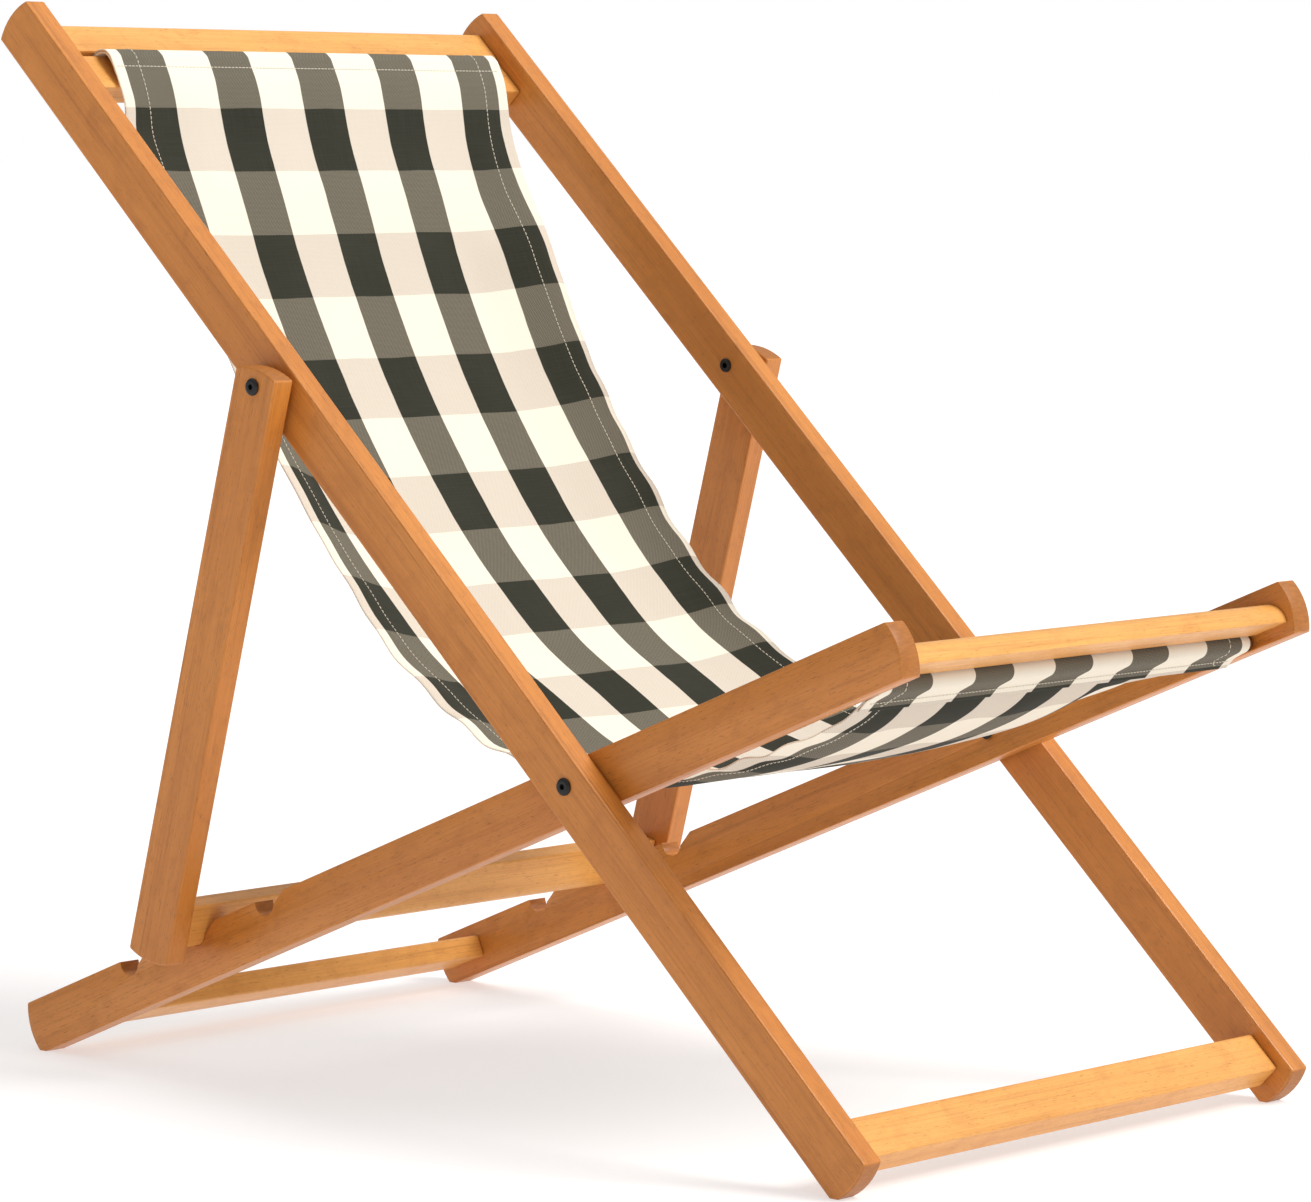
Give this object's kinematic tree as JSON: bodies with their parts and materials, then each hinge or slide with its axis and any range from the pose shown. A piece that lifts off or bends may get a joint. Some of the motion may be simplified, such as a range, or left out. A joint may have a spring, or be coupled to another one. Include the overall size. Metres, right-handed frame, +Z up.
{
  "type": "folding deck chair",
  "caption": "Reclining folding deck chair: crossed hardwood frames with a hinged, notch-held prop frame and a hanging striped-check fabric sling seat.",
  "frame": {"origin": "on the floor, under the middle of the bounding box", "axes": "+Z up; the sitter faces -Y; +X is the sitter's left-hand side; symmetric about x = 0"},
  "size_m": [0.595, 0.8714, 0.8157],
  "materials": {
    "rail_wood": "clear-lacquered beech-like hardwood, honey brown, satin, fine grain with short flecks",
    "crossbar_wood": "the same lacquered hardwood, slightly paler, satin",
    "rod_wood": "turned hardwood dowel, satin",
    "sling_fabric": "woven cotton canvas in a large check of charcoal, taupe and ivory, matte, hemmed sides",
    "hardware": "black-coated steel, satin"
  },
  "bodies": {
    "back_frame": {"back_rail_left": "rail_wood", "back_rail_right": "rail_wood", "back_top_rail": "crossbar_wood", "back_sling_slat": "crossbar_wood", "back_foot_rail": "crossbar_wood", "sling_rod_top": "rod_wood", "sling": "sling_fabric", "main_pivot_bolt_left": "hardware", "main_pivot_nut_left": "hardware", "main_pivot_spacer_left": "hardware", "main_pivot_bolt_right": "hardware", "main_pivot_nut_right": "hardware", "main_pivot_spacer_right": "hardware", "prop_pivot_bolt_left": "hardware", "prop_pivot_nut_left": "hardware", "prop_pivot_spacer_left": "hardware", "prop_pivot_bolt_right": "hardware", "prop_pivot_nut_right": "hardware", "prop_pivot_spacer_right": "hardware"},
    "seat_frame": {"seat_rail_left": "rail_wood", "seat_rail_right": "rail_wood", "seat_foot_rail": "crossbar_wood", "seat_front_rail": "crossbar_wood", "sling_rod_front": "rod_wood"},
    "prop_frame": {"prop_leg_left": "rail_wood", "prop_leg_right": "rail_wood", "prop_crossbar": "crossbar_wood"}
  },
  "joints": [
    {"name": "fold_pivot", "type": "hinge", "parent": "back_frame", "child": "seat_frame", "pos_m": [0, -0.15149, 0.26212], "axis": [-1, 0, 0], "range_deg": [0, 105], "deforming": ["sling"]},
    {"name": "prop_pivot", "type": "hinge", "parent": "back_frame", "child": "prop_frame", "pos_m": [0, 0.1367, 0.5337], "axis": [-1, 0, 0], "range_deg": [0, 54]}
  ],
  "couplings": [
    {"joint": "prop_pivot", "follows": "fold_pivot", "ratio": 0.51}
  ]
}
